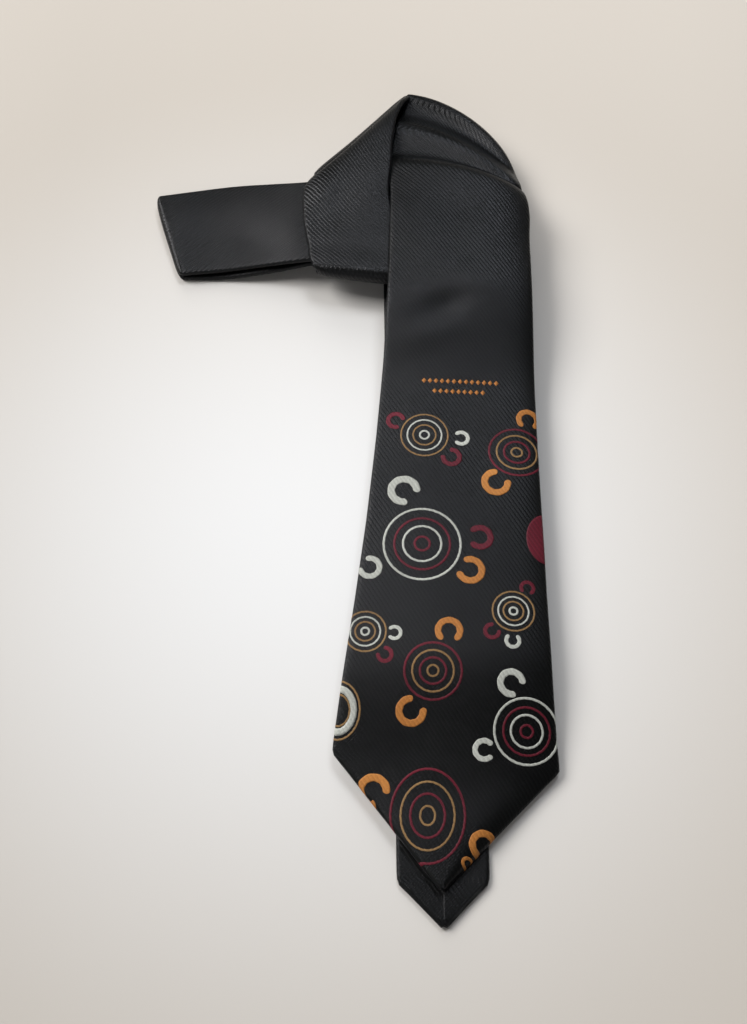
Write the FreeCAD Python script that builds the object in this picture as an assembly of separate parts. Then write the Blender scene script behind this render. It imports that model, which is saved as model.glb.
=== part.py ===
"""Necktie of dark ribbed cloth, folded for display with a wrapped neck loop at its side.

A necktie is one long folded envelope of cloth round a wool core. This one is 1.45 m long and lies on a flat
surface. From the wide tip it runs up as the front blade, dips behind a crease, turns at the rim and at the
roof, comes down as the wrap in front of the neck loop, turns under it, runs out to the left as the neck loop,
comes back underneath, and goes down behind the front blade as the tail.

Frame: millimetres, X to the right, Y from the tips towards the rim, Z up from the surface. The origin is the
middle of the footprint, on the surface.
"""

import FreeCAD, Part
import math
import os
from FreeCAD import Vector

# The sandwich of cloth, gap and core that every stretch of the tie has.
CLOTH = 0.45
CORE = 1.30
GAP = 0.05
HALF = CORE / 2 + GAP + CLOTH  # half the thickness of the whole tie
HALF_CAVITY = CORE / 2 + GAP
HALF_CORE = CORE / 2
EDGE_CAVITY = CLOTH + GAP  # how far the cavity keeps from the tie's long edges
EDGE_CORE = EDGE_CAVITY + GAP
PITCH = 2.8  # from one layer's middle to the next one's

# Levels of the layers' middles over the surface.
LEVEL = [HALF + PITCH * n for n in range(6)]
CREST_LEVEL = 18.6  # the front blade where it passes over the wrap
RIM_LEVEL = 12.8  # the front blade beyond its crease

# The front blade, in plan. It leans a little to the left on its way down.
TIP = Vector(24.0, -150.0, 0)
BLADE_LEAN = 87.3  # heading from the tip, in degrees
TIP_DEPTH = 46.0
SHOULDER_WIDTH = 84.5
KNOT_WIDTH = 61.5  # where the blade leaves the knot
KNOT_Y = 104.0
HINGE_Y = 140.0
HINGE_PLAY = 0.3
CREASE_LEFT = Vector(9.0, 173.0, 0)
CREASE_RIGHT = Vector(68.5, 149.0, 0)
CREASE_DROP = 11.0  # length over which the blade dives behind its crease
WRAP_EDGE = [(9.5, 190.0), (8.0, 172.0), (12.0, 160.0)]  # the wrap's right edge, beside the crease

# The tail, in plan.
TAIL_X = 24.7
TAIL_TIP_Y = -162.0
TAIL_TOP_Y = 92.0
TAIL_FOOT_Y = -60.0
TAIL_TIP_WIDTH = 33.4
TAIL_TOP_WIDTH = 36.0
PIVOT_Y = 72.0
PIVOT_RADIUS = 15.6
PIVOT_PLAY = 0.4
STUB_END = 4.0  # how far above the pivot the tail's fixed stretch ends

# Small sewn pieces.
HEM = 9.0  # cloth that folds over the tips
WINDOW_TOP = 96.0  # from the wide tip to where the two flaps meet
TAIL_WINDOW_TOP = 60.0
LINING_PLAY = 0.1
STITCH = (7.0, 0.6)
STITCH_STEP = 11.0
SEAM_END = 5.0  # from a fold to the first slip stitch
STITCH_BITE = 0.25
STITCH_PROUD = 0.15
BLADE_TACK = (8.0, 1.8)
BLADE_TACK_PROUD = 0.45
TAIL_TACK = (7.0, 1.6)
TAIL_TACK_PROUD = 0.35
TACK_GAP = 2.0  # from the top of a window to the bar tack over it
SEAM_PROUD = 0.1
SEAM_WIDTH = 0.7
# Where the panels' seams cross the tie's left and right edges, as shares of a stretch.
BLADE_SEAM = (0.66, 0.92)
TAIL_SEAM = (0.70, 0.84)
KEEPER_SIZE = (52.0, 15.0)
KEEPER_Y = 8.0
KEEPER_CLOTH = 0.5
KEEPER_SLACK = 0.35
KEEPER_END = 5.0  # length sewn down at each end
KEEPER_TACK = (1.4, 12.0)
LABEL_SIZE = (40.0, 22.0)
LABEL_Y = -18.0
LABEL_CLOTH = 0.35
LABEL_TACK = 2.0
LABEL_TACK_INSET = 1.5
CARE_SIZE = (16.0, 24.0)
CARE_PLACE = (-17.0, -62.0)  # across from the blade's middle, and along Y
CARE_CLOTH = 0.3

# Heights that no part reaches, for cuts through everything.
BELOW, ABOVE = -5.0, 40.0
CUT_THROUGH = 0.2

# Puts the origin at the middle of the footprint.
SHIFT = Vector(16.42, -28.16, 0.021)

parts = {}


# ---------------------------------------------------------------- small helpers


def unit(degrees):
    return Vector(math.cos(math.radians(degrees)), math.sin(math.radians(degrees)), 0)


def left_of(direction):
    return Vector(-direction.y, direction.x, 0)


def prism(corners, low, high):
    """A plan outline carried from one height to another."""
    ring = [Vector(c.x, c.y, low) for c in corners]
    return Part.Face(Part.makePolygon(ring + ring[:1])).extrude(Vector(0, 0, high - low))


def fused(solids):
    whole = solids[0]
    if len(solids) > 1:
        whole = whole.multiFuse(solids[1:])
    return whole.removeSplitter()


def keep(name, shape):
    parts[name] = shape


# ---------------------------------------------------------------- folds and flat stretches


class Fold:
    """A soft fold: half a tube along a line in plan, between two levels.

    centre and heading are the ribbon's where it meets the tube, and line is the tube's direction. The ribbon
    leaves with its heading mirrored in the line, unless heading_out says otherwise.
    """

    def __init__(self, centre, heading, line, width, level, level_out, heading_out=None):
        travel = unit(heading)
        along = unit(line)
        if along.dot(travel) < 0:
            along = along * -1
        out = left_of(along)
        if out.dot(travel) < 0:
            out = out * -1
        self.along, self.out = along, out
        self.level, self.level_out = level, level_out
        self.radius = abs(level_out - level) / 2
        self.slide = math.pi * self.radius * along.dot(travel) / out.dot(travel)
        self.centre = centre
        reach = width / 2 / along.dot(left_of(travel))
        self.left = centre + along * reach
        self.right = centre - along * reach
        mirrored = along * along.dot(travel) - out * out.dot(travel)
        if heading_out is not None:
            mirrored = unit(heading_out)
            self.slide = 0.0
        self.travel_out = mirrored
        self.centre_out = centre + along * self.slide
        ends = [self.left + along * self.slide, self.right + along * self.slide]
        ends.sort(key=lambda p: (p - self.centre_out).dot(left_of(mirrored)))
        self.right_out, self.left_out = ends

    def tube(self, half):
        """The half tube itself, half as thick as said each way from the ribbon's middle."""
        middle = (self.level + self.level_out) / 2
        reach = sorted((p - self.centre).dot(self.along) for p in (self.left, self.right))
        spare = abs(self.slide) + 3 * half
        start = self.centre + self.along * (reach[0] - spare)

        def at(across, height):
            return start + self.out * across + Vector(0, 0, height)

        rounds = []
        for radius in (self.radius + half, self.radius - half):
            low, far, high = at(0, middle - radius), at(radius, middle), at(0, middle + radius)
            rounds.append((low, Part.Arc(low, far, high).toShape(), high))
        (low_a, outer, high_a), (low_b, inner, high_b) = rounds
        ends = [Part.LineSegment(high_a, high_b).toShape(), Part.LineSegment(low_b, low_a).toShape()]
        face = Part.Face(Part.Wire([outer, ends[0], inner, ends[1]]))
        whole = face.extrude(self.along * (reach[1] - reach[0] + 2 * spare))

        def corner(distance, height):
            share = (height - self.level) / (self.level_out - self.level)
            base = self.centre + self.along * (distance + self.slide * share)
            return base + Vector(0, 0, height) - self.out * half

        low = min(self.level, self.level_out) - half
        high = max(self.level, self.level_out) + half
        ring = [corner(reach[0], low), corner(reach[1], low), corner(reach[1], high), corner(reach[0], high)]
        trim = Part.Face(Part.makePolygon(ring + ring[:1])).extrude(self.out * (self.radius + 3 * half))
        return whole.common(trim)


def outline(before, after):
    """The plan of the flat stretch between two folds."""
    return [before.left_out, after.left, after.right, before.right_out]


def share_of(a, b, share):
    return a + (b - a) * share


def split(corners, left_share, right_share):
    """A flat stretch cut in two by a slanting seam."""
    left_start, left_end, right_end, right_start = corners
    left = share_of(left_start, left_end, left_share)
    right = share_of(right_start, right_end, right_share)
    return [left_start, left, right, right_start], [left, left_end, right_end, right]


# ---------------------------------------------------------------- draped sheets


def smooth(points):
    curve = Part.BSplineCurve()
    curve.interpolate(points)
    return curve


def draped(profile, across, low, high, width=260.0, samples=48):
    """A sheet that follows a smooth profile, from low to high off it, and runs level across it."""
    curve = smooth(profile)
    rows = []
    for offset in (low, high):
        points = []
        for i in range(samples + 1):
            at = curve.FirstParameter + (curve.LastParameter - curve.FirstParameter) * i / samples
            tangent = Vector(*curve.tangent(at)[0])
            normal = across.cross(tangent).normalize()
            if normal.z < 0:
                normal = normal * -1
            points.append(curve.value(at) + normal * offset)
        rows.append(points)
    below, above = (smooth(points).toShape() for points in rows)
    first = Part.LineSegment(rows[0][0], rows[1][0]).toShape()
    last = Part.LineSegment(rows[0][-1], rows[1][-1]).toShape()
    face = Part.Face(Part.Wire([below, last, above, first]))
    face.translate(across * (-width / 2))
    return face.extrude(across * width)


# ---------------------------------------------------------------- the chain of folds in the neck and tail


def chain(inset):
    """Every fold from the rim to the tail's top, for a ribbon that keeps inset from the tie's long edges."""
    def fold(centre, heading, line, width, level, level_out, heading_out=None):
        return Fold(centre, heading, line, width - 2 * inset, level, level_out, heading_out)

    def after(previous, length, *rest):
        heading = math.degrees(math.atan2(previous.travel_out.y, previous.travel_out.x))
        return fold(previous.centre_out + previous.travel_out * length, heading, *rest)

    made = {}
    made["rim"] = fold(Vector(46.1, 191.0, 0), BLADE_LEAN, 136.0, 42.0, RIM_LEVEL, LEVEL[2])
    made["roof"] = after(made["rim"], 39.8, 47.5, 40.0, LEVEL[2], LEVEL[5])
    made["wrap_foot"] = fold(Vector(-8.6, 110.6, 0), -88.0, -11.0, 40.0, LEVEL[5], LEVEL[3])
    made["neck_turn"] = after(made["wrap_foot"], 40.0, 127.25, 44.0, LEVEL[3], LEVEL[4])
    made["loop_end"] = after(made["neck_turn"], 101.5, 107.6, 44.0, LEVEL[1], LEVEL[0], 4.5)
    made["tail_turn"] = after(made["loop_end"], 112.2, 47.25, 38.0, LEVEL[2], LEVEL[1])
    made["crown"] = after(made["tail_turn"], 30.0, 0.0, 38.0, LEVEL[1], LEVEL[0])
    made["tail_foot"] = fold(Vector(TAIL_X, TAIL_FOOT_Y, 0), -90.0, 0.0, 37.0, LEVEL[0], LEVEL[1])
    made["tail_top"] = fold(Vector(TAIL_X, TAIL_TOP_Y, 0), 90.0, 0.0, TAIL_TOP_WIDTH, LEVEL[1], LEVEL[2])
    return made


def blade_axis(y):
    """Where the front blade's middle is, at a distance along Y."""
    return TIP.x + (y - TIP.y) / math.tan(math.radians(BLADE_LEAN))


def blade_outline(inset, low_y, high_y):
    """Plan of the front blade between two heights, kept in from its edges and its tip."""
    up = unit(BLADE_LEAN)
    across = left_of(up) * -1
    shoulder_middle = TIP + up * TIP_DEPTH
    edge = SHOULDER_WIDTH / 2
    slope = math.hypot(edge, TIP_DEPTH) / edge  # how far an inset moves the tip along the axis
    tip = TIP + up * (inset * slope)
    drop = inset * (slope - TIP_DEPTH / edge)
    right = shoulder_middle + across * (edge - inset) + up * drop
    left = shoulder_middle - across * (edge - inset) + up * drop
    knot = Vector(blade_axis(KNOT_Y), KNOT_Y, 0)
    knot_right = knot + Vector(KNOT_WIDTH / 2 - inset, 0, 0)
    knot_left = knot - Vector(KNOT_WIDTH / 2 - inset, 0, 0)
    top_middle = blade_axis(high_y)
    lean = (CREASE_LEFT.x - knot_left.x + inset) / (CREASE_LEFT.y - KNOT_Y)
    top_left = Vector(knot_left.x + lean * (high_y - KNOT_Y), high_y, 0)
    top_right = Vector(2 * top_middle - top_left.x, high_y, 0)
    return [tip, right, knot_right, top_right, top_left, knot_left, left]


def blade_window(inset):
    """Plan of the opening in the front blade's back, where its lining shows."""
    lower = blade_outline(HEM + inset, TIP.y, HINGE_Y)
    top = TIP + unit(BLADE_LEAN) * (WINDOW_TOP - inset * 1.5)
    return [lower[0], lower[1], top, lower[-1]]


def tail_outline(inset):
    """Plan of the tail below its pivot."""
    half = TAIL_TIP_WIDTH / 2 - inset
    tip_rise = inset * math.sqrt(2)
    shoulder = TAIL_TIP_Y + tip_rise + half
    top = TAIL_TOP_WIDTH / 2 - inset
    corners = [(0, TAIL_TIP_Y + tip_rise), (half, shoulder), (top, PIVOT_Y)]
    corners += [(-top, PIVOT_Y), (-half, shoulder)]
    return [Vector(TAIL_X + x, y, 0) for x, y in corners]


def tail_window(inset):
    lower = tail_outline(HEM * 0.5 + inset)
    top = Vector(TAIL_X, TAIL_TIP_Y + TAIL_WINDOW_TOP - inset * 2.5, 0)
    return [lower[0], lower[1], top, lower[-1]]


# ---------------------------------------------------------------- profiles


def eased(knots, step=6.0):
    """Points along a line that goes level through each knot and eases from one to the next."""
    points = []
    for (here, height), (there, height_there) in zip(knots, knots[1:]):
        count = max(2, round(abs(there - here) / step))
        for i in range(count):
            share = i / count
            rise = share * share * (3 - 2 * share)
            points.append((here + (there - here) * share, height + (height_there - height) * rise))
    return points + [knots[-1]]


NEAR_TIP = 4.5  # the front blade's middle where it lies over the tail's lowest stretch
OVER_TAIL = 11.2  # and where it lies over three layers
BLADE_PROFILE = [
    (-175, NEAR_TIP), (-118, NEAR_TIP), (-62, OVER_TAIL), (48, OVER_TAIL), (KNOT_Y, CREST_LEVEL),
    (150, CREST_LEVEL),
]
TAIL_PROFILE = [(-185, LEVEL[0]), (-118, LEVEL[0]), (-68, LEVEL[2]), (95, LEVEL[2])]
LOOP_FOOT_X = -68.0  # beyond this the neck loop lies on the surface
LOOP_HEAD_X = -31.0  # and from this on it lies on the layers beneath the wrap
LOOP_TOP_PROFILE = [(-125, LEVEL[1]), (LOOP_FOOT_X, LEVEL[1]), (LOOP_HEAD_X, LEVEL[4]), (60, LEVEL[4])]
LOOP_BACK_PROFILE = [(-125, LEVEL[0]), (LOOP_FOOT_X, LEVEL[0]), (LOOP_HEAD_X, LEVEL[2]), (80, LEVEL[2])]


def along_y(profile, low, high):
    return draped([Vector(0, y, z) for y, z in eased(profile)], Vector(1, 0, 0), low, high)


def along_x(profile, low, high):
    points = [Vector(x, 140.0, z) for x, z in eased(profile)]
    return draped(points, Vector(0, 1, 0), low, high)


def blade_sheet(low, high):
    return along_y(BLADE_PROFILE, low, high)


def tail_sheet(low, high):
    return along_y(TAIL_PROFILE, low, high)


def loop_top_sheet(low, high):
    return along_x(LOOP_TOP_PROFILE, low, high)


def loop_back_sheet(low, high):
    return along_x(LOOP_BACK_PROFILE, low, high)


def crease_sheet(low, high):
    """The front blade from its hinge, over the crest and down behind the crease to the rim's level."""
    along = (CREASE_RIGHT - CREASE_LEFT).normalize()
    beyond = left_of(along)
    middle = share_of(CREASE_LEFT, CREASE_RIGHT, 0.5)
    steps = [(-70, 0), (-45, 0), (-20, 0), (-6, 0), (0, 0.06), (0.5, 0.5), (1, 0.94)]
    steps += [(6, 1), (20, 1), (45, 1), (70, 1)]
    profile = []
    for place, fall in steps:
        distance = place * CREASE_DROP if 0 <= place <= 1 else place + (CREASE_DROP if place > 1 else 0)
        height = CREST_LEVEL + (RIM_LEVEL - CREST_LEVEL) * fall
        profile.append(middle + beyond * distance + Vector(0, 0, height))
    return draped(profile, along, low, high, samples=60)


def upper_blade_outline(inset, rim):
    """Plan of the front blade from its hinge to the rim."""
    lower = blade_outline(inset, TIP.y, HINGE_Y)
    hinge_right, hinge_left = lower[3], lower[4]
    right = Vector(CREASE_RIGHT.x - inset, CREASE_RIGHT.y, 0)
    left = Vector(CREASE_LEFT.x + inset, CREASE_LEFT.y, 0)
    return [hinge_right, right, rim.right, rim.left, left, hinge_left]


def wrap_outline(folds, inset):
    """Plan of the wrap, whose right edge draws in above the crease and passes under the front blade."""
    roof, foot = folds["roof"], folds["wrap_foot"]
    right_edge = [Vector(x - inset, y, 0) for x, y in WRAP_EDGE]
    return [roof.right_out, foot.right, foot.left, *reversed(right_edge), roof.left_out]


# ---------------------------------------------------------------- one layer of the whole tie


def layer(half, inset):
    """Solids of one nested layer of the tie, by panel: the whole sandwich, its cavity, or its core."""
    folds = chain(inset)

    def flat(corners, level):
        return prism(corners, level - half, level + half)

    def plate(first, second):
        return flat(outline(folds[first], folds[second]), folds[first].level_out)

    def tubes(*names):
        return [folds[n].tube(half) for n in names]

    back_a, back_b = split(outline(folds["loop_end"], folds["tail_turn"]), *BLADE_SEAM)
    down_a, down_b = split(outline(folds["crown"], folds["tail_foot"]), *TAIL_SEAM)
    crease = crease_sheet(-half, half).common(prism(upper_blade_outline(inset, folds["rim"]), BELOW, ABOVE))
    loop_plan = prism(outline(folds["neck_turn"], folds["loop_end"]), BELOW, ABOVE)
    loop_top = loop_top_sheet(-half, half).common(loop_plan)
    loop_back = loop_back_sheet(-half, half)
    near_seam, beyond_seam = (loop_back.common(prism(plan, BELOW, ABOVE)) for plan in (back_a, back_b))
    blade_plan = prism(blade_outline(inset, TIP.y, HINGE_Y - HINGE_PLAY), BELOW, ABOVE)
    pivot = Vector(TAIL_X, PIVOT_Y, 0)
    tail_low, tail_high = LEVEL[2] - half, LEVEL[2] + half
    start = folds["tail_top"]
    keep_off = PIVOT_RADIUS + PIVOT_PLAY + inset
    stub_low = PIVOT_Y + STUB_END + inset
    side = (start.left - start.right).Length / 2
    stub = [
        Vector(TAIL_X - side, TAIL_TOP_Y, 0), Vector(TAIL_X + side, TAIL_TOP_Y, 0),
        Vector(TAIL_X + side, stub_low, 0), Vector(TAIL_X - side, stub_low, 0),
    ]
    hollow = Part.makeCylinder(keep_off, tail_high - tail_low + 2, pivot + Vector(0, 0, tail_low - 1))
    disc = Part.makeCylinder(PIVOT_RADIUS - inset, tail_high - tail_low, pivot + Vector(0, 0, tail_low))
    return {
        "neck_side": [crease, flat(wrap_outline(folds, inset), LEVEL[5])]
        + tubes("rim", "roof", "wrap_foot", "neck_turn", "loop_end")
        + [plate("rim", "roof"), plate("wrap_foot", "neck_turn"), loop_top, near_seam],
        "neck": tubes("tail_turn", "crown") + [beyond_seam, plate("tail_turn", "crown"), flat(down_a, LEVEL[0])],
        "tail_side": tubes("tail_foot", "tail_top") + [flat(down_b, LEVEL[0]), plate("tail_foot", "tail_top")]
        + [prism(stub, tail_low, tail_high).cut(hollow)],
        "blade": [blade_sheet(-half, half).common(blade_plan)],
        "tail": [tail_sheet(-half, half).common(prism(tail_outline(inset), BELOW, ABOVE)), disc],
    }


# ---------------------------------------------------------------- nodes


def envelopes_and_core():
    """The cloth envelopes, one for each panel and moving blade, and the core inside them."""
    whole = {k: fused(v) for k, v in layer(HALF, 0.0).items()}
    cavity = {k: fused(v) for k, v in layer(HALF_CAVITY, EDGE_CAVITY).items()}
    core = layer(HALF_CORE, EDGE_CORE)
    names = {
        "neck_side": "blade_shell_upper", "neck": "neck_shell", "tail_side": "tail_shell_upper",
        "blade": "blade_shell", "tail": "tail_shell",
    }
    moving = ("blade", "tail")
    fixed = [cavity[k] for k in names if k not in moving]
    shells = {k: whole[k].cut([cavity[k]] if k in moving else fixed) for k in names}
    back_wall = blade_sheet(-HALF - CUT_THROUGH, -HALF_CAVITY)
    shells["blade"] = shells["blade"].cut(back_wall.common(prism(blade_window(0.0), BELOW, ABOVE)))
    top_wall = tail_sheet(HALF_CAVITY, HALF + CUT_THROUGH)
    shells["tail"] = shells["tail"].cut(top_wall.common(prism(tail_window(0.0), BELOW, ABOVE)))
    for key, name in names.items():
        keep(name, shells[key])
    keep("neck_interlining", fused(core["neck_side"] + core["neck"] + core["tail_side"]))
    keep("blade_interlining", fused(core["blade"]))
    keep("tail_interlining", fused(core["tail"]))


def linings():
    """The lining in each tip's window, level with the cloth round it."""
    blade = blade_sheet(-HALF, -HALF_CAVITY).common(prism(blade_window(LINING_PLAY), BELOW, ABOVE))
    keep("blade_lining", blade)
    tail = tail_sheet(HALF_CAVITY, HALF).common(prism(tail_window(LINING_PLAY), BELOW, ABOVE))
    keep("tail_lining", tail)


def box_on(sheet, centre, size, heading=90.0):
    """The part of a draped sheet inside a rectangle in plan."""
    up, side = unit(heading), left_of(unit(heading))
    width, length = size[0] / 2, size[1] / 2
    signs = ((1, 1), (-1, 1), (-1, -1), (1, -1))
    corners = [centre + side * (width * i) + up * (length * j) for i, j in signs]
    return sheet.common(prism(corners, BELOW, ABOVE))


def stitch_row(sheet, start, heading, length):
    """Slip stitches along a centre seam."""
    size = (STITCH[1], STITCH[0])
    travel = unit(heading)
    middles = [start + travel * (STITCH_STEP * (i + 0.5)) for i in range(int(length // STITCH_STEP))]
    return [box_on(sheet, middle, size, heading) for middle in middles]


def threads():
    """Bar tacks and slip stitches, pressed a little into the cloth."""
    under = blade_sheet(-HALF - STITCH_PROUD, -HALF + STITCH_BITE)
    blade_start = TIP + unit(BLADE_LEAN) * (WINDOW_TOP + TACK_GAP)
    length = HINGE_Y - blade_start.y - STITCH_STEP / 2
    keep("blade_slip_stitch", Part.makeCompound(stitch_row(under, blade_start, BLADE_LEAN, length)))
    tack = blade_sheet(-HALF - BLADE_TACK_PROUD, -HALF + STITCH_BITE)
    keep("blade_bar_tack", box_on(tack, blade_start, BLADE_TACK))

    over = tail_sheet(HALF - STITCH_BITE, HALF + STITCH_PROUD)
    tail_start = Vector(TAIL_X, TAIL_TIP_Y + TAIL_WINDOW_TOP + TACK_GAP, 0)
    row = stitch_row(over, tail_start, 90.0, PIVOT_Y - tail_start.y)
    keep("tail_slip_stitch", Part.makeCompound(row))
    tack = tail_sheet(HALF - STITCH_BITE, HALF + TAIL_TACK_PROUD)
    keep("tail_bar_tack", box_on(tack, tail_start, TAIL_TACK))

    folds = chain(0.0)
    low, high = HALF - STITCH_BITE, HALF + STITCH_PROUD
    back = loop_back_sheet(low, high)
    down = along_y([(TAIL_TIP_Y, LEVEL[0]), (2 * TAIL_TOP_Y, LEVEL[0])], low, high)
    row = []
    for first, second, sheet in (("loop_end", "tail_turn", back), ("crown", "tail_foot", down)):
        start = folds[first].centre_out
        travel = folds[second].centre - start
        heading = math.degrees(math.atan2(travel.y, travel.x))
        row += stitch_row(sheet, start + unit(heading) * SEAM_END, heading, travel.Length - 4 * SEAM_END)
    keep("neck_slip_stitch", Part.makeCompound(row))


def seams():
    """The two slanting seams that join the panels: a line of thread pressed into both cloths."""
    folds = chain(EDGE_CORE * 2)
    for name, first, second, shares, level in (
        ("blade_neck_seam", "loop_end", "tail_turn", BLADE_SEAM, LEVEL[2]),
        ("neck_tail_seam", "crown", "tail_foot", TAIL_SEAM, LEVEL[0]),
    ):
        near, _ = split(outline(folds[first], folds[second]), *shares)
        left, right = near[1], near[2]
        across = left_of((right - left).normalize()) * (SEAM_WIDTH / 2)
        ring = [left + across, right + across, right - across, left - across]
        top = level + HALF
        keep(name, prism(ring, top - STITCH_BITE, top + SEAM_PROUD))


def keeper():
    """The loop of the tie's own cloth that takes the tail, sewn down at both ends."""
    middle = Vector(blade_axis(KEEPER_Y), KEEPER_Y, 0)
    low = -HALF - KEEPER_SLACK - KEEPER_CLOTH
    loop = [box_on(blade_sheet(low, -HALF - KEEPER_SLACK), middle, KEEPER_SIZE)]
    tacks = []
    for side in (-1, 1):
        place = middle + Vector(side * (KEEPER_SIZE[0] - KEEPER_END) / 2, 0, 0)
        loop.append(box_on(blade_sheet(low, -HALF), place, (KEEPER_END, KEEPER_SIZE[1])))
        tacks.append(box_on(blade_sheet(low - STITCH_PROUD, low + STITCH_BITE), place, KEEPER_TACK))
    keep("keeper_loop", fused(loop))
    keep("keeper_stitches", Part.makeCompound(tacks))


def labels():
    """The blank label with its four corner tacks, and the care tag."""
    top = -HALF - STITCH_PROUD
    middle = Vector(blade_axis(LABEL_Y), LABEL_Y, 0)
    keep("blank_label", box_on(blade_sheet(top - LABEL_CLOTH, top), middle, LABEL_SIZE))
    corners = []
    for i in (-1, 1):
        for j in (-1, 1):
            across = i * (LABEL_SIZE[0] / 2 - LABEL_TACK_INSET)
            along = j * (LABEL_SIZE[1] / 2 - LABEL_TACK_INSET)
            thread = blade_sheet(top - LABEL_CLOTH - SEAM_PROUD, -HALF + STITCH_BITE)
            corners.append(box_on(thread, middle + Vector(across, along, 0), (LABEL_TACK, LABEL_TACK)))
    keep("label_stitches", Part.makeCompound(corners))
    across, along = CARE_PLACE
    place = Vector(blade_axis(along) + across, along, 0)
    keep("care_tag", box_on(blade_sheet(top - CARE_CLOTH, top), place, CARE_SIZE))


def main():
    os.makedirs("parts", exist_ok=True)
    for old in os.listdir("parts"):
        os.remove(os.path.join("parts", old))
    envelopes_and_core()
    linings()
    threads()
    seams()
    keeper()
    labels()
    box = FreeCAD.BoundBox()
    for name, shape in parts.items():
        shape.translate(SHIFT)
        box.add(shape.optimalBoundingBox(True))
        shape.exportStep(f"parts/{name}.step")
        solids = len(shape.Solids)
        print(f"{name:20s} {solids:3d} solids  {shape.Volume / 1000:8.3f} cm3  valid {shape.isValid()}")
    print("centre", round(box.Center.x, 2), round(box.Center.y, 2), "low", round(box.ZMin, 3))
    print("size", round(box.XLength, 1), round(box.YLength, 1), round(box.ZLength, 1))


main()
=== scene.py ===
"""The looks of the folded necktie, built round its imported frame.

The tie is drawn in millimetres: X to the right, Y from the tips to the rim, Z up from the surface. It is
one strip that folds back and forth, so its middle surface is a grid of rows, each from the strip's left edge
to its right edge for someone who walks on its face from the wide tip to the narrow one. Side A is the face
and side B the back. Cloth, core, labels, threads and the woven pattern are laid on that grid.
"""

import math

import bmesh
import bpy
import numpy as np
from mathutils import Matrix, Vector


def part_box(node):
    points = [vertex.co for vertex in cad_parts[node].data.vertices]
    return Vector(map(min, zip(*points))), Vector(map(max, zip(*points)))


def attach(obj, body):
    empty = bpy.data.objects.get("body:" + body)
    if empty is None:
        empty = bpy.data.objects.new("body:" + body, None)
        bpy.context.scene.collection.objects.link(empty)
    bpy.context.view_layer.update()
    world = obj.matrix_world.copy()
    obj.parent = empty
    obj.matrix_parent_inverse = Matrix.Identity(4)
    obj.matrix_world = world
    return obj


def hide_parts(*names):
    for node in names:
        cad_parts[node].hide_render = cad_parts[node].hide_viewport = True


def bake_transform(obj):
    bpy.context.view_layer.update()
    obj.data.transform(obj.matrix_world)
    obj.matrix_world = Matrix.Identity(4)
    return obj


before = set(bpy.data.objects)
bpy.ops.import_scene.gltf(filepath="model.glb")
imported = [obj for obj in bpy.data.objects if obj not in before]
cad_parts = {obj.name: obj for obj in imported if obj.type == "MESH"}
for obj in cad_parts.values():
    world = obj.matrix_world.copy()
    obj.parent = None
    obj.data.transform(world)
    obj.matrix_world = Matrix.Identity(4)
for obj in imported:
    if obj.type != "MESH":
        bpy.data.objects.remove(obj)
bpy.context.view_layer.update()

# ---------------------------------------------------------------- sizes, in millimetres

HALF = 1.15  # half the thickness of cloth, core and cloth
CLOTH = 0.42
CORE_HALF = 0.62
EDGE_CORE = 0.9  # how far the core keeps from the tie's long edges
FLOOR_GAP = 0.02
UV_SIZE = 100.0  # millimetres to one unit of the UV maps
ROW_STEP = 1.7
FOLD_ROWS = 16
FOLD_ROUNDING = 1.6  # how far a fold's corners draw in
PEAK_ROUNDING = 0.7  # the same for the two folds that meet at the peak
EDGE_DROP = 2.0  # how far the front blade's right edge hangs below its middle, beyond the even crown
COLUMNS = 44
LEVEL = [HALF + 2.8 * n for n in range(6)]  # middles of the layers over the surface
FLAP_RISE = 0.3  # how far one flap stands over the other at the centre seam
WINDOW_DEPTH = 0.28  # how far the lining lies under the flaps

TIP = np.array([24.0, -150.0])
LEAN = math.radians(87.3)  # heading of the front blade, from its tip
ALONG = np.array([math.cos(LEAN), math.sin(LEAN)])
ACROSS = np.array([math.sin(LEAN), -math.cos(LEAN)])
BLADE_LENGTH = 262.0  # of the stretch that is told by its edges; sections tell the rest
# Distance from the tip, and from the blade's axis to each edge.
LEFT_EDGE = [
    (0, 0), (48.0, 41.7), (74, 39.4), (106, 36.3), (140, 33.5), (176, 31.4), (214, 29.9), (262, 29.7),
]
RIGHT_EDGE = [
    (0, 0), (45.4, 42.7), (56, 41.3), (78, 39.7), (109, 38.1), (143, 36.6), (179, 34.9), (262, 32.2),
]
# The blade's height over the surface, against Y.
BLADE_RISE = [(-150, 4.5), (-118, 4.5), (-62, 11.2), (48, 11.2), (104, 18.6), (150, 18.8)]
BLADE_CROWN = 1.2  # how much lower the blade's edges hang than its middle, and how far out that is
CROWN_REACH = 38.0

CAD_TAIL = (24.7, -162.0)  # the middle and the tip of the CAD's tail, in the drawing
TAIL_X = 24.8
TAIL_TOP = 92.0
TAIL_TIP = -162.2
TAIL_TIP_DEPTH = 16.6
TAIL_HALF_TOP = 18.0
TAIL_HALF_TIP = 16.6
TAIL_RISE = [(-170, LEVEL[0]), (-118, LEVEL[0]), (-68, LEVEL[2]), (95, LEVEL[2])]



def at_level(n, *sections):
    """Sections that lie flat in one layer, from points told by X and Y."""
    return [tuple((x, y, LEVEL[n]) for x, y in section) for section in sections]


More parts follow.
